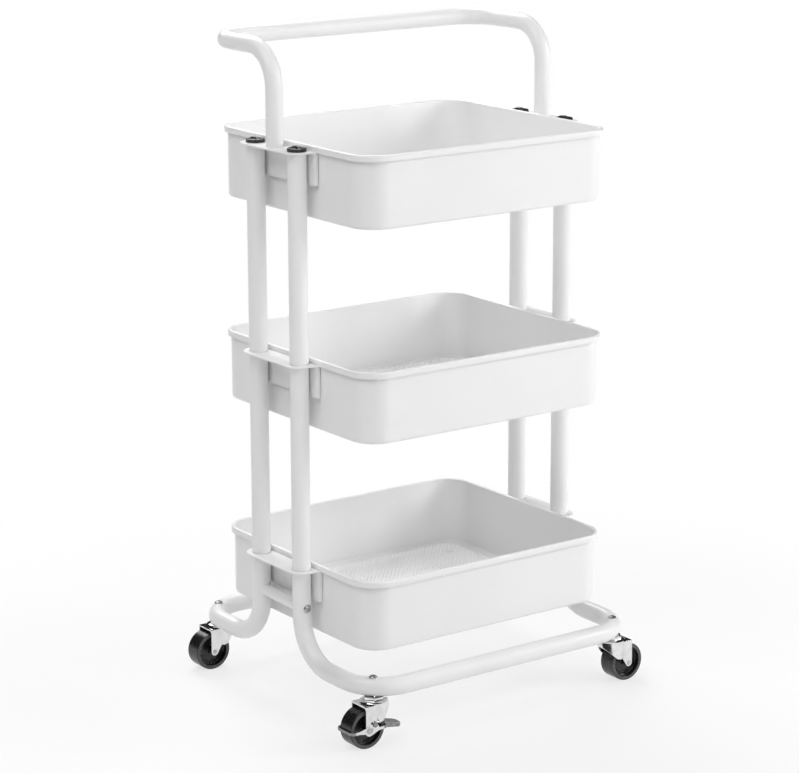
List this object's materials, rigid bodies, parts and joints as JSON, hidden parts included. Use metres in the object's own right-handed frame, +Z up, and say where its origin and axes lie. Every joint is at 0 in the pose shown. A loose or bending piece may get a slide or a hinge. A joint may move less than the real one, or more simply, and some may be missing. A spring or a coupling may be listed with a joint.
{
  "type": "rolling utility cart",
  "caption": "Rolling utility cart with stacked deep metal trays on round poles, a bent tube push handle, a bent tube base and swivel casters, some with toe brakes.",
  "frame": {"origin": "on the floor, midway between the four casters", "axes": "+Z up, X along the long side of the trays, +Y to the rear, where the handle leans"},
  "size_m": [0.4784, 0.417, 0.8653],
  "materials": {
    "white_paint": "gloss",
    "black_gloss_plastic": "gloss",
    "black_wheel_plastic": "semi-gloss",
    "chrome": "polished",
    "zinc_steel": "satin",
    "bright_steel": "satin",
    "dark_plastic": "matte"
  },
  "bodies": {
    "frame": {"base_leg_plugs": "dark_plastic", "base_tube_front": "white_paint", "base_tube_rear": "white_paint", "bearing_balls": "bright_steel", "bottom_bracket_left": "white_paint", "bottom_bracket_right": "white_paint", "bottom_mesh_floor": "white_paint", "bottom_pole_studs": "bright_steel", "bottom_tray": "white_paint", "caster_screws": "bright_steel", "caster_stem_front_left": "chrome", "caster_stem_front_right": "chrome", "caster_stem_rear_left": "chrome", "caster_stem_rear_right": "chrome", "cross_bar_left": "white_paint", "cross_bar_right": "white_paint", "cross_bar_screws": "bright_steel", "handle": "white_paint", "knob_front_left": "black_gloss_plastic", "knob_front_right": "black_gloss_plastic", "knob_rear_left": "black_gloss_plastic", "knob_rear_right": "black_gloss_plastic", "knob_shanks": "bright_steel", "lower_pole_front_left": "white_paint", "lower_pole_front_right": "white_paint", "lower_pole_plugs": "dark_plastic", "lower_pole_rear_left": "white_paint", "lower_pole_rear_right": "white_paint", "middle_bracket_left": "white_paint", "middle_bracket_right": "white_paint", "middle_mesh_floor": "white_paint", "middle_pole_studs": "bright_steel", "middle_tray": "white_paint", "top_bracket_left": "white_paint", "top_bracket_right": "white_paint", "top_mesh_floor": "white_paint", "top_tray": "white_paint", "upper_pole_front_left": "white_paint", "upper_pole_front_right": "white_paint", "upper_pole_plugs": "dark_plastic", "upper_pole_rear_left": "white_paint", "upper_pole_rear_right": "white_paint"},
    "caster_front_left": {"caster_yoke_front_left": "chrome", "axle_front_left": "bright_steel", "brake_pins_front_left": "bright_steel"},
    "rolling_wheel_front_left": {"wheel_front_left": "black_wheel_plastic"},
    "brake_front_left": {"brake_lever_front_left": "zinc_steel"},
    "caster_front_right": {"caster_yoke_front_right": "chrome", "axle_front_right": "bright_steel"},
    "rolling_wheel_front_right": {"wheel_front_right": "black_wheel_plastic"},
    "caster_rear_left": {"caster_yoke_rear_left": "chrome", "axle_rear_left": "bright_steel"},
    "rolling_wheel_rear_left": {"wheel_rear_left": "black_wheel_plastic"},
    "caster_rear_right": {"caster_yoke_rear_right": "chrome", "axle_rear_right": "bright_steel", "brake_pins_rear_right": "bright_steel"},
    "rolling_wheel_rear_right": {"wheel_rear_right": "black_wheel_plastic"},
    "brake_rear_right": {"brake_lever_rear_right": "zinc_steel"}
  },
  "joints": [
    {"name": "swivel_front_left", "type": "hinge", "parent": "frame", "child": "caster_front_left", "pos_m": [-0.19389, -0.18039, 0.0563], "axis": [0, 0, 1], "continuous": true},
    {"name": "roll_front_left", "type": "hinge", "parent": "caster_front_left", "child": "rolling_wheel_front_left", "pos_m": [-0.21089, -0.18039, 0.0255], "axis": [0, 1, 0], "continuous": true},
    {"name": "brake_front_left", "type": "hinge", "parent": "caster_front_left", "child": "brake_front_left", "pos_m": [-0.20339, -0.18039, 0.032], "axis": [0, 1, 0], "range_deg": [0, 8.5]},
    {"name": "swivel_front_right", "type": "hinge", "parent": "frame", "child": "caster_front_right", "pos_m": [0.19389, -0.18039, 0.0563], "axis": [0, 0, 1], "continuous": true},
    {"name": "roll_front_right", "type": "hinge", "parent": "caster_front_right", "child": "rolling_wheel_front_right", "pos_m": [0.21089, -0.18039, 0.0255], "axis": [0, 1, 0], "continuous": true},
    {"name": "swivel_rear_left", "type": "hinge", "parent": "frame", "child": "caster_rear_left", "pos_m": [-0.19389, 0.18039, 0.0563], "axis": [0, 0, 1], "continuous": true},
    {"name": "roll_rear_left", "type": "hinge", "parent": "caster_rear_left", "child": "rolling_wheel_rear_left", "pos_m": [-0.21089, 0.18039, 0.0255], "axis": [0, 1, 0], "continuous": true},
    {"name": "swivel_rear_right", "type": "hinge", "parent": "frame", "child": "caster_rear_right", "pos_m": [0.19389, 0.18039, 0.0563], "axis": [0, 0, 1], "continuous": true},
    {"name": "roll_rear_right", "type": "hinge", "parent": "caster_rear_right", "child": "rolling_wheel_rear_right", "pos_m": [0.21089, 0.18039, 0.0255], "axis": [0, 1, 0], "continuous": true},
    {"name": "brake_rear_right", "type": "hinge", "parent": "caster_rear_right", "child": "brake_rear_right", "pos_m": [0.20339, 0.18039, 0.032], "axis": [0, -1, 0], "range_deg": [0, 8.5]}
  ]
}
